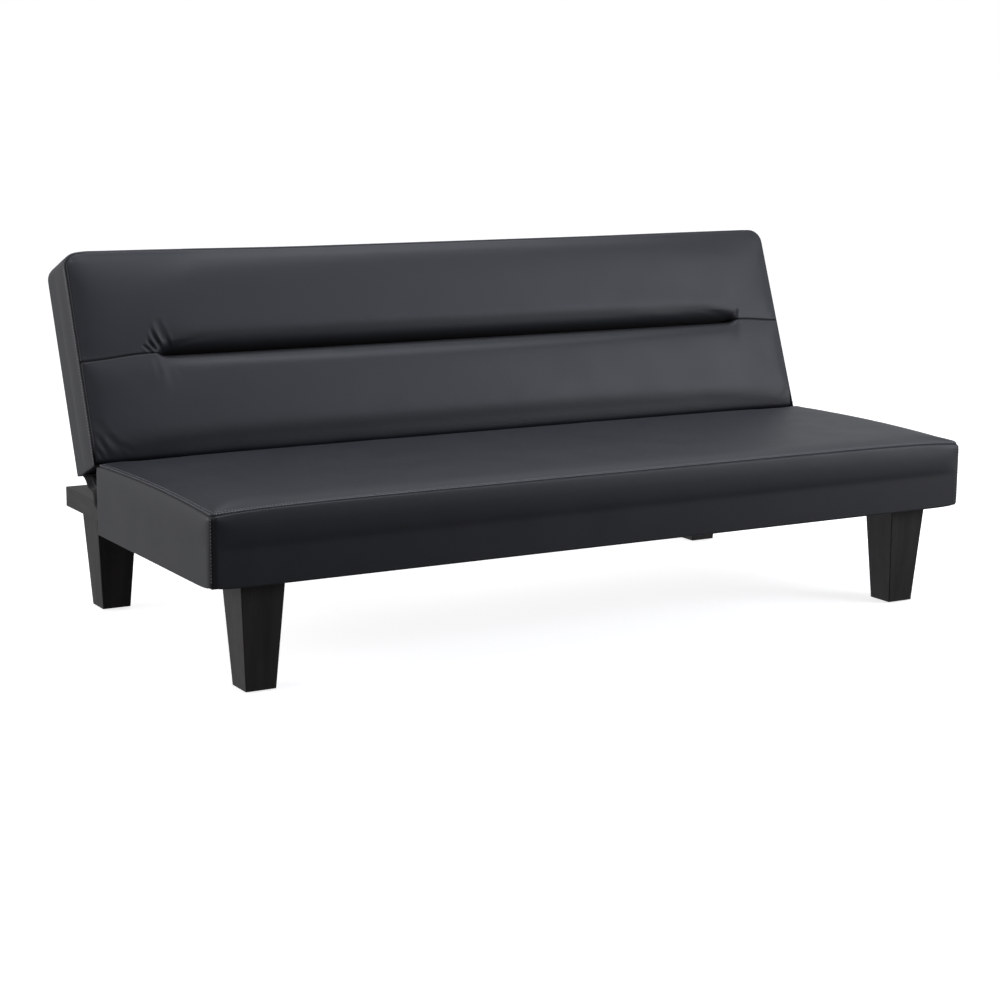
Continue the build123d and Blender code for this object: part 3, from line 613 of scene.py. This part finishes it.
# %% Wood
def wood(name, dark, light, grain_along, rough, streak):
    finish, tree, shader, where = new_finish(name, IOR=1.5)
    stretch = [30.0 if axis == grain_along else 1.0 for axis in range(3)]
    pores = blotches(tree, where, streak, stretch, detail=5.0, rough=0.7)
    figure = blotches(tree, where, 14 * streak, [s / 3 if s > 1 else s for s in stretch], detail=3.0)
    tone = between(tree, figure, dark, light, 0.35, 0.65)
    darker = add(tree, "ShaderNodeMix", {0: between(tree, pores, 0.0, 0.6, 0.5, 0.68), 6: tone, 7: dark},
                 data_type="RGBA").outputs[2]
    finish_with(tree, shader, darker, between(tree, pores, rough, rough + 0.12), pores, 0.25 * mm, 0.5)
    return finish


black_brown = colour("#100e0d"), colour("#292421")
honey = colour("#a97f4f"), colour("#d8b98a")
stained = {axis: wood(f"black-brown stained rubberwood {axis}", *black_brown, axis, 0.50, 2 * mm)
           for axis in (1, 2)}
pine = {axis: wood(f"sawn pine {axis}", *honey, axis, 0.62, 3 * mm) for axis in (0, 1, 2)}

# %% [markdown]
# The cloth under the seat and behind it is spunbonded polypropylene: fibres laid at random and
# welded together at rows of tiny dots. The dots are 0.9 mm apart on the real cloth and are drawn
# 3 mm apart. Wadding and felt are loose fibres, so they are noise with a soft sheen.

# %% Cloths and paddings
cloth, tree, shader, where = new_finish("black spunbonded cloth", Roughness=0.85, Sheen_Weight=0.25,
                                        Sheen_Roughness=0.5)
welds = add(tree, "ShaderNodeTexVoronoi", {"Vector": where, "Scale": 1 / (3 * mm),
                                           "Randomness": 0.15}).outputs["Distance"]
fibres = blotches(tree, where, 2.5 * mm, detail=8.0, rough=0.8)
black = between(tree, fibres, colour("#121214"), colour("#26262a"))
finish_with(tree, shader, black, None, welds, 0.3 * mm, 0.7)


def fluffy(name, dark, light, size, relief, sheen):
    finish, tree, shader, where = new_finish(name, Roughness=0.95, Sheen_Weight=sheen)
    strands = blotches(tree, where, size, detail=10.0, rough=0.75)
    finish_with(tree, shader, between(tree, strands, dark, light), None, strands, relief)
    return finish


wadding = fluffy("polyester wadding", colour("#bdbcb8"), colour("#e4e3df"), 6 * mm, 1.2 * mm, 0.4)
felt = fluffy("jute felt", colour("#6b5637"), colour("#9a8257"), 3 * mm, 0.6 * mm, 0.2)
foam = fluffy("polyurethane foam", colour("#cdb877"), colour("#e6d59b"), 1.5 * mm, 0.4 * mm, 0.0)
board = fluffy("hardboard", colour("#4a3422"), colour("#6d5138"), 2 * mm, 0.1 * mm, 0.0)
print("finishes:", len(bpy.data.materials))

# %% [markdown]
# Metals keep a metal's own reflection, and what tells them apart is colour and roughness. The
# hinge plates are stamped steel under black powder coat, which is a plastic skin with a slight
# orange peel. The fixings are zinc plated, and the springs are hard drawn wire with a film of
# oil. Nylon glides are moulded, with a fine spark texture.

# %% Metals and plastics
def hard_skin(name, dark, light, low, high, size, relief, detail=2.0, uneven=0.55, **shader_inputs):
    finish, tree, shader, where = new_finish(name, **shader_inputs)
    worn = blotches(tree, where, size, detail=detail, rough=uneven)
    base, rough = between(tree, worn, colour(dark), colour(light)), between(tree, worn, low, high)
    finish_with(tree, shader, base, rough, worn, relief)
    return finish


metal = {"Metallic": 1.0, "detail": 6.0, "uneven": 0.65}
zinc = hard_skin("zinc plated steel", "#9d9c93", "#c6c4ba", 0.28, 0.45, 5 * mm, 0.02 * mm, **metal)
wire = hard_skin("hard drawn spring wire", "#5b5650", "#8b857c", 0.3, 0.5, 3 * mm, 0.02 * mm, **metal)
powder = hard_skin("black powder coat on steel", "#131314", "#1e1e20", 0.4, 0.52, 1.2 * mm, 0.05 * mm, IOR=1.5)
nylon = hard_skin("moulded black nylon", "#18181a", "#232326", 0.5, 0.62, 0.8 * mm, 0.03 * mm, IOR=1.5)

webbing, tree, shader, where = new_finish("elastic webbing", Roughness=0.8, Sheen_Weight=0.2)
rib = 3 * mm
ribs = add(tree, "ShaderNodeTexWave", {"Vector": where, "Scale": 1 / (pi * rib), "Distortion": 0.4},
           bands_direction="X").outputs["Fac"]
finish_with(tree, shader, between(tree, ribs, colour("#6f6654"), colour("#a59a80")), None, ribs, 0.4 * mm)

# %% [markdown]
# Each CAD piece keeps its shape and takes its finish by the name of its material slot. Timber
# also needs the direction of its grain, which is the longest side of the piece's own box.

# %% Dress the frame
by_slot = {"faux_leather": leather, "polyester_wadding": wadding, "upholstery_foam": foam,
           "jute_felt": felt, "nonwoven_cloth": cloth, "elastic_webbing": webbing, "hardboard": board,
           "nylon": nylon, "spring_steel": wire, "zinc_steel": zinc, "black_steel": powder}
for name, node in frame["nodes"].items():
    slot = node.data.materials[0].name.split(".")[0]
    low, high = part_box(name)
    longest = max(range(3), key=lambda axis: (high - low)[axis])
    if slot == "stained_wood":
        node.data.materials[0] = stained[2 if name.endswith("leg") else 1]
    elif slot == "pine_timber":
        node.data.materials[0] = pine[longest]
    else:
        node.data.materials[0] = by_slot[slot]

# %% [markdown]
# ## Hollow the cushions
# The covers are skins over a timber frame, so each cushion gets a hollow of the frame's own size.
# A Boolean modifier takes away what another mesh covers. The inside of the hollow is what one
# would see there, the wadding, so the cutting mesh carries that finish and passes it on.

# %% Hollows
def cut_out(obj, cutter, lining):
    cutter.data.materials.append(lining)
    apply_modifier(obj, "BOOLEAN", object=cutter, operation="DIFFERENCE", solver="EXACT",
                   material_mode="TRANSFER")
    bpy.data.objects.remove(cutter)


skin_depth = 5.5 * mm
inner = half_width - skin_depth
seat.data.materials.append(leather)
back.data.materials.append(leather)
hollow_foot, thin_skin = 190 * mm, 1.5 * mm
foam_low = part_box("seat_foam")[0].z
seat_hollow = block("seat_hollow", (-inner, front + skin_depth, hollow_foot),
                    (inner, rear - thin_skin, foam_low))
cut_out(seat, seat_hollow, wadding)
rails_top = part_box("left_base_rail")[1].z + 0.3 * mm
room_half = half_width - thin_skin
rail_room = block("rail_room", (-room_half, rear - .010, hollow_foot), (room_half, rear + .010, rails_top))
cut_out(seat, rail_room, wadding)
# The seat's hinge leaves stand out through a slit in the cover's rear.
slit_near, slit_far = inner - 45.4 * mm, inner - 41.6 * mm
for left, right in ((-slit_far, -slit_near), (slit_near, slit_far)):
    slit = block("leaf_slit", (left, rear - .010, rails_top - .002), (right, rear + .006, rails_top + .050))
    cut_out(seat, slit, leather)

frame_front, frame_rear, frame_foot, frame_corner = 58.5 * mm, 102.5 * mm, 3.7 * mm, 38 * mm
frame_room = block("frame_room", (-inner, frame_front, frame_foot), (inner, frame_rear, tall - skin_depth))
edge_ends = [v for e in frame_room.data.edges for v in e.vertices]
edge_points = points_of(frame_room)[edge_ends].reshape(-1, 2, 3)
upright_top = (edge_points[:, :, 2].min(1) > .4) & (np.ptp(edge_points[:, :, 1], axis=1) > .01)
mark(frame_room, "EDGE", upright_top)
bpy.ops.mesh.bevel(offset=frame_corner - skin_depth, segments=8)
bpy.ops.object.mode_set(mode="OBJECT")
frame_room.data.transform(tilt)
cut_out(back, frame_room, wadding)
# A ratchet turns in a round room in each lower corner.
ratchet_place, room_radius, room_width = half_width - 54 * mm, 32 * mm, 20 * mm
for middle in (-ratchet_place, ratchet_place):
    bpy.ops.object.select_all(action="DESELECT")
    bpy.ops.mesh.primitive_cylinder_add(vertices=48, radius=room_radius, depth=room_width,
                                        location=(middle, hinge.y, hinge.z), rotation=(0, pi / 2, 0))
    room = bpy.context.object
    bpy.ops.object.transform_apply(location=True, rotation=True, scale=False)
    cut_out(back, room, wadding)
for obj in (seat, back):
    only(obj)
    bpy.ops.object.shade_smooth_by_angle(angle=radians(45))
    print(obj.name, len(obj.data.polygons), "faces")

# %% [markdown]
# ## Topstitching
# A stitch is a short length of thread that comes up through the leather and dives in again. One
# is modelled, from a small sphere drawn out to a grain of rice, and is then copied along each
# seam. Each copy is laid on the nearest point of the cushion and turned to lie along the row.
# The real stitches are about 3.5 mm long and 0.5 mm thick. These are 4.2 mm long, 1.5 mm wide and
# 1 mm high, so that they show.

# %% One stitch
bpy.ops.object.select_all(action="DESELECT")
stitch_high, stitch_wide, stitch_long = 1.0 * mm, 1.5 * mm, 4.2 * mm
bpy.ops.mesh.primitive_uv_sphere_add(segments=6, ring_count=5, radius=1, rotation=(0, pi / 2, 0),
                                     scale=(stitch_high / 2, stitch_wide / 2, stitch_long / 2))
one_stitch = bpy.context.object
bpy.ops.object.transform_apply(location=True, rotation=True, scale=True)
one_stitch.name = "one_stitch"
stitch_shape = points_of(one_stitch)
stitch_faces = [list(face.vertices) for face in one_stitch.data.polygons]
print("one stitch:", len(stitch_faces), "faces")


# %% Lay a row of stitches
def lay_stitches(name, surface, path, pitch=6 * mm):
    path = np.asarray(path, float)
    run = np.concatenate([[0], np.cumsum(np.linalg.norm(np.diff(path, axis=0), axis=1))])
    count = int(run[-1] / pitch)
    stations = (np.arange(count) + 0.5) * run[-1] / count
    places = np.column_stack([np.interp(stations, run, path[:, i]) for i in range(3)])
    ground = BVHTree.FromObject(surface, bpy.context.evaluated_depsgraph_get())
    found = [ground.find_nearest(Vector(place)) for place in places]
    spots, up = np.array([f[0] for f in found]), np.array([f[1] for f in found])
    ahead = np.gradient(spots, axis=0)
    ahead -= (ahead * up).sum(1)[:, None] * up
    ahead /= np.linalg.norm(ahead, axis=1)[:, None]
    aside = np.cross(up, ahead)
    a, b, c = stitch_shape.T[:, None, :, None]
    copies = spots[:, None] + a * ahead[:, None] + b * aside[:, None] + (c + 0.15 * mm) * up[:, None]
    faces = [[v + k * len(stitch_shape) for v in face] for k in range(count) for face in stitch_faces]
    mesh = bpy.data.meshes.new(name)
    mesh.from_pydata(copies.reshape(-1, 3).tolist(), [], faces)
    mesh.materials.append(thread)
    mesh.shade_smooth()
    row = bpy.data.objects.new(name, mesh)
    bpy.context.scene.collection.objects.link(row)
    print(name, count, "stitches")
    return row


def round_corners(half, far, near, corner, inset):
    """A row's line in a flat plane: up one side, round two corners and down the other side."""
    turn = np.linspace(0, pi / 2, 9)
    arc = corner - inset
    left = [(-half + inset, near)]
    left += [(-half + corner - arc * cos(t), far - corner + arc * sin(t)) for t in turn]
    return left + [(-p[0], p[1]) for p in reversed(left)]


def on_arc(radius, seam_at, beyond):
    """Inset and depth of a row that lies beyond the seam by that distance, round the edge."""
    angle = radians(seam_at) - beyond / radius
    return radius - radius * sin(angle), radius - radius * cos(angle)


rows = []
for number, beyond in enumerate((2.8 * mm, 8.4 * mm), 1):
    row_in, row_down = on_arc(seat_edge, 50, beyond)
    corners = np.array(round_corners(half_width, -front, -rear + .006, seat_edge, row_in))
    old, new = np.linspace(0, 1, len(corners)), np.linspace(0, 1, 900)
    dense = [(np.interp(s, old, corners[:, 0]), np.interp(s, old, corners[:, 1])) for s in new]
    line = [(px, -py, seat_top - row_down + float(seat_lift(px, -py))) for px, py in dense]
    rows.append((lay_stitches(f"seat_topstitch_row_{number}", seat, line), "base"))
for end_side, word in ((-1, "left"), (1, "right")):
    angle = radians(35) + 3.2 * mm / seat_edge
    px = end_side * (half_width - seat_edge + seat_edge * sin(angle))
    py = front + seat_edge - seat_edge * cos(angle)
    line = [(px, py, skirt_foot + .012), (px, py, seat_top - .008)]
    rows.append((lay_stitches(f"seat_{word}_corner_stitches", seat, line), "base"))
row_in, row_down = on_arc(back_edge, seam_turn, -5 * mm)
flat_line = round_corners(half_width, tall, .012, back_corner, row_in)
line = [tilt @ Vector((px, row_down, pu)) for px, pu in flat_line]
rows.append((lay_stitches("back_topstitch", back, line), "backrest"))
bpy.data.objects.remove(one_stitch)

# %% [markdown]
# ## The loose cloth behind the seat
# A strip of spunbonded cloth closes the gap between seat and back. Its lower edge is stapled to
# the seat's rear, its upper edge to the back's lower rear edge, and it needs enough slack for
# the back to lie down flat, so it hangs in gathers. Past the rails both ends hang free, with a
# hem. It is a grid of small squares bent along a curve, with folds that grow towards the ends,
# and the thickness is added last.

# %% Gap cloth
bpy.ops.object.select_all(action="DESELECT")
bpy.ops.mesh.primitive_grid_add(x_subdivisions=420, y_subdivisions=36, size=1)
gap_cloth = bpy.context.object
gap_cloth.name = "gap_cloth"
along, share = points_of(gap_cloth)[:, 0], points_of(gap_cloth)[:, 1] + 0.5
gap_half, rail_high = half_width - 8 * mm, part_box("left_base_rail")[1].z
x = along * 2 * gap_half
free_from, free_over = 802 * mm, 20 * mm
outer = ease((abs(x) - free_from) / free_over)[:, None]
under_back = np.array(tilt @ Vector((0, 94 * mm, -1.0 * mm)))[1:]
low_edge = np.array([rear + 2 * mm, rail_high + 3.4 * mm]) + outer * np.array([.0015, -.036])
belly = np.array([rear + .060, rail_high + .006]) + outer * np.array([-.046, .032])
s1 = share[:, None]
curve = (1 - s1) ** 2 * low_edge + 2 * s1 * (1 - s1) * belly + s1 ** 2 * under_back
slope = 2 * (1 - s1) * (belly - low_edge) + 2 * s1 * (under_back - belly)
slope /= np.linalg.norm(slope, axis=1)[:, None]
outwards = np.column_stack([-slope[:, 1], slope[:, 0]])
size = (1.2 + 3.6 * ease((abs(x) - .60) / .22)) * mm
wide_folds = np.sin(2 * pi * x / .052 + 2.2 * share + 1.7 * np.sin(x * 9))
folds = wide_folds + 0.5 * np.sin(2 * pi * x / .031 - 3 * share + 1)
folds += outer[:, 0] * 1.3 * np.sin(2 * pi * share * 2.6 + x * 40)
curve += outwards * (size * folds * np.sin(pi * share) ** 0.8)[:, None]
over_rail = (abs(x) > .66) & (abs(x) < .804)
curve[:, 1] = np.where(over_rail, np.maximum(curve[:, 1], rail_high + 1.2 * mm), curve[:, 1])
put_points(gap_cloth, np.column_stack([x, curve]))
area = sum(face.area for face in gap_cloth.data.polygons)
print("gap cloth", round(area, 3), "square metres, so", round(area / (2 * gap_half) * 1000), "mm deep")
hem_lines = {}
for end_side, word in ((-1, "left"), (1, "right")):
    column = points_of(gap_cloth)[abs(along - end_side * 0.5 * (1 - 2 * 3 / 420)) < 0.0006]
    hem_lines[word] = column[np.argsort(column[:, 2])]
apply_modifier(gap_cloth, "SOLIDIFY", thickness=0.8 * mm, offset=0)
gap_cloth.data.materials.append(cloth)
gap_cloth.data.shade_smooth()
hems = [lay_stitches(f"gap_cloth_{word}_hem", gap_cloth, line, 5 * mm) for word, line in hem_lines.items()]

# %% [markdown]
# ## The cloth under the seat
# The dust cover keeps foam crumbs and springs out of sight. It is stapled to the underside of
# the frame and sags a few millimetres between the staples and the stretchers.

# %% Dust cover and staples
low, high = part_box("seat_dust_cover")
bpy.ops.object.select_all(action="DESELECT")
bpy.ops.mesh.primitive_grid_add(x_subdivisions=120, y_subdivisions=60, size=1, location=(low + high) / 2)
dust = bpy.context.object
dust.scale = (high.x - low.x, high.y - low.y, 1)
bpy.ops.object.transform_apply(location=True, rotation=False, scale=True)
dust.name = "dust_cover"
x, y, z = points_of(dust).T
edge = np.minimum(np.minimum(x - low.x, high.x - x), np.minimum(y - low.y, high.y - y))
from_bars = np.minimum(abs(abs(x) - .28), .25) / .25
sag = ease((edge - .012) / .12) * (2.0 + 3.0 * ease(from_bars)) * mm
ripple = 0.5 * mm * np.sin(x * 38 + 6 * y) * np.sin(y * 31 + 2) * ease(edge / .05)
put_points(dust, np.column_stack([x, y, low.z + 0.3 * mm - sag + ripple]))
apply_modifier(dust, "SOLIDIFY", thickness=0.6 * mm, offset=0)
dust.data.materials.append(cloth)
dust.data.shade_smooth()


def staple_row(name, places):
    """One staple, bevelled, and a copy of it at each place."""
    crown = Vector((5.5, 0.6, 0.4)) * mm
    first = block(name, -crown, crown)
    apply_modifier(first, "BEVEL", width=0.3 * mm, segments=2)
    shape = points_of(first)
    faces = [list(face.vertices) for face in first.data.polygons]
    copies = (np.asarray(places)[:, None] + shape[None]).reshape(-1, 3)
    all_faces = [[v + k * len(shape) for v in face] for k in range(len(places)) for face in faces]
    mesh = bpy.data.meshes.new(name)
    mesh.from_pydata(copies.tolist(), [], all_faces)
    mesh.materials.append(zinc)
    old, first.data = first.data, mesh
    bpy.data.meshes.remove(old)
    first.name = name
    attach(first, "base")
    return first


staple_z = low.z - 0.1 * mm
along_x = np.linspace(low.x + .03, high.x - .03, 22)
places = [(px, py, staple_z) for py in (low.y + .010, high.y - .010) for px in along_x]
staples = staple_row("dust_cover_staples", places)

# %% [markdown]
# ## The springs of the hinge
# At each end a small tension spring pulls the pawl into the ratchet. It is a close coil of wire
# with a loop at each end, and a loop hangs on each of two pegs. The coil is a ring of eight
# points that the Screw modifier turns and lifts, and the loops are rings.

# %% Pawl springs
def pawl_spring(word, turns=16, loop=1.95 * mm, gauge=0.3 * mm):
    low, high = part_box(f"{word}_pawl_spring")
    pivot = Vector(next(j for j in frame["joints"] if j["name"] == f"{word}_pawl_swing")["pos_m"])
    middle = (low.x + high.x) / 2
    peg = Vector((middle, rear + 6 * mm, rail_high + 17 * mm))
    arm, arm_turn, coil_radius = 14 * mm, radians(150), 1.85 * mm
    tail = Vector((middle, pivot.y + arm * cos(arm_turn), pivot.z + arm * sin(arm_turn)))
    run = (tail - peg).normalized()
    length = (tail - peg).length - 2 * (loop + gauge)
    bpy.ops.object.select_all(action="DESELECT")
    bpy.ops.mesh.primitive_circle_add(vertices=8, radius=gauge, location=(coil_radius, 0, 0),
                                      rotation=(pi / 2, 0, 0))
    coil = bpy.context.object
    coil.name = f"{word}_spring_coil"
    bpy.ops.object.transform_apply(location=True, rotation=True, scale=False)
    apply_modifier(coil, "SCREW", screw_offset=length / turns, iterations=turns, steps=14, render_steps=14)
    bpy.ops.object.mode_set(mode="EDIT")
    bpy.ops.mesh.select_all(action="SELECT")
    bpy.ops.mesh.fill_holes(sides=0)
    bpy.ops.mesh.normals_make_consistent(inside=False)
    bpy.ops.object.mode_set(mode="OBJECT")
    lean = Vector((0, 0, 1)).rotation_difference(run).to_matrix().to_4x4()
    coil.data.transform(Matrix.Translation(peg + run * (loop + gauge)) @ lean)
    bpy.ops.object.select_all(action="DESELECT")
    rings = []
    for place in (peg, tail):
        bpy.ops.mesh.primitive_torus_add(location=place, rotation=(0, pi / 2, 0), major_segments=20,
                                         minor_segments=8, major_radius=loop, minor_radius=gauge)
        bpy.ops.object.transform_apply(location=True, rotation=True, scale=False)
        rings.append(bpy.context.object)
    only(coil)
    for ring in rings:
        ring.select_set(True)
    bpy.ops.object.join()
    coil.data.materials.clear()
    coil.data.materials.append(wire)
    coil.data.shade_smooth()
    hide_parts(f"{word}_pawl_spring")
    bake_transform(coil)
    print(coil.name, turns, "turns,", round(length / mm, 1), "mm long")


pawl_spring("left")
pawl_spring("right")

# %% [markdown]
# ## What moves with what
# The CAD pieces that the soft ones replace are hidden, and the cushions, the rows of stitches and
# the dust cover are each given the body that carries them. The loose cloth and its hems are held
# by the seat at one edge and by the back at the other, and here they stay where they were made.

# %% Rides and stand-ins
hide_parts("seat_cover", "seat_fibre_wrap", "seat_foam", "seat_felt_pad")
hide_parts("back_cover", "back_fibre_wrap", "back_lower_foam", "back_upper_foam", "groove_listing")
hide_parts("gap_cover")
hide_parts("seat_dust_cover")
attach(seat, "base")
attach(back, "backrest")
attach(dust, "base")
for row, body in rows:
    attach(row, body)
for piece in [gap_cloth, *hems]:
    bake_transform(piece)

# %% [markdown]
# ## Floor and light
# A catalogue picture has a plain pale floor and big soft lights. One large softbox hangs overhead
# and makes the top of the seat one of the lightest faces, one stands at the front right, a weak
# one fills in low down beside it, and a small one lights the left end. The front stays darkest.

# %% Floor and light
bpy.ops.object.select_all(action="DESELECT")
bpy.ops.mesh.primitive_plane_add(size=400)
floor = bpy.context.object
floor.name = "floor"
pale, tree, shader, where = new_finish("pale studio floor", Roughness=1.0, Emission_Strength=0.80)
shader.inputs["Base Color"].default_value = colour("#dcdcdc")
shader.inputs["Emission Color"].default_value = colour("#ffffff")
floor.data.materials.append(pale)
floor.visible_glossy = floor.visible_diffuse = False

world = bpy.data.worlds.new("studio")
bpy.context.scene.world = world
world.use_nodes = True
sky = world.node_tree
backdrop = add(sky, "ShaderNodeBackground", {"Color": (1, 1, 1, 1), "Strength": 1.0})
direction = add(sky, "ShaderNodeTexCoord").outputs["Generated"]
rearwards = add(sky, "ShaderNodeSeparateXYZ", {0: direction}).outputs["Y"]
paper = add(sky, "ShaderNodeMapRange", {"Value": rearwards, "From Min": -0.35, "From Max": 0.45,
                                        "To Min": 0.10, "To Max": 0.62},
            interpolation_type="SMOOTHSTEP").outputs[0]
room_light = add(sky, "ShaderNodeBackground", {"Color": colour("#fbfcff"), "Strength": paper})
seen = add(sky, "ShaderNodeLightPath").outputs["Is Camera Ray"]
mixed = add(sky, "ShaderNodeMixShader", {0: seen, 1: room_light.outputs[0], 2: backdrop.outputs[0]})
sky.links.new(mixed.outputs[0], sky.nodes["World Output"].inputs["Surface"])


def softbox(name, place, target, width, height, watts, tint="#ffffff"):
    bpy.ops.object.light_add(type="AREA", location=place)
    lamp = bpy.context.object
    lamp.name = name
    lamp.rotation_euler = (Vector(target) - Vector(place)).to_track_quat("-Z", "Y").to_euler()
    lamp.data.shape, lamp.data.size, lamp.data.size_y = "RECTANGLE", width, height
    lamp.data.energy, lamp.data.color = watts, colour(tint)[:3]


softbox("overhead_softbox", (0.3, -0.3, 3.2), (0.2, 0, 0.3), 3.6, 1.8, 74, "#f0f4ff")
softbox("front_right_softbox", (3.1, -2.9, 2.2), (0.4, 0, 0.5), 2.4, 1.6, 80, "#eff3ff")
softbox("low_right_fill", (3.6, -2.6, 0.6), (0.6, -0.4, 0.3), 1.6, 1.0, 26)
softbox("left_softbox", (-3.2, 0.9, 1.1), (-0.9, 0, 0.4), 1.6, 1.2, 30)
bpy.context.scene.view_settings.view_transform = "Standard"
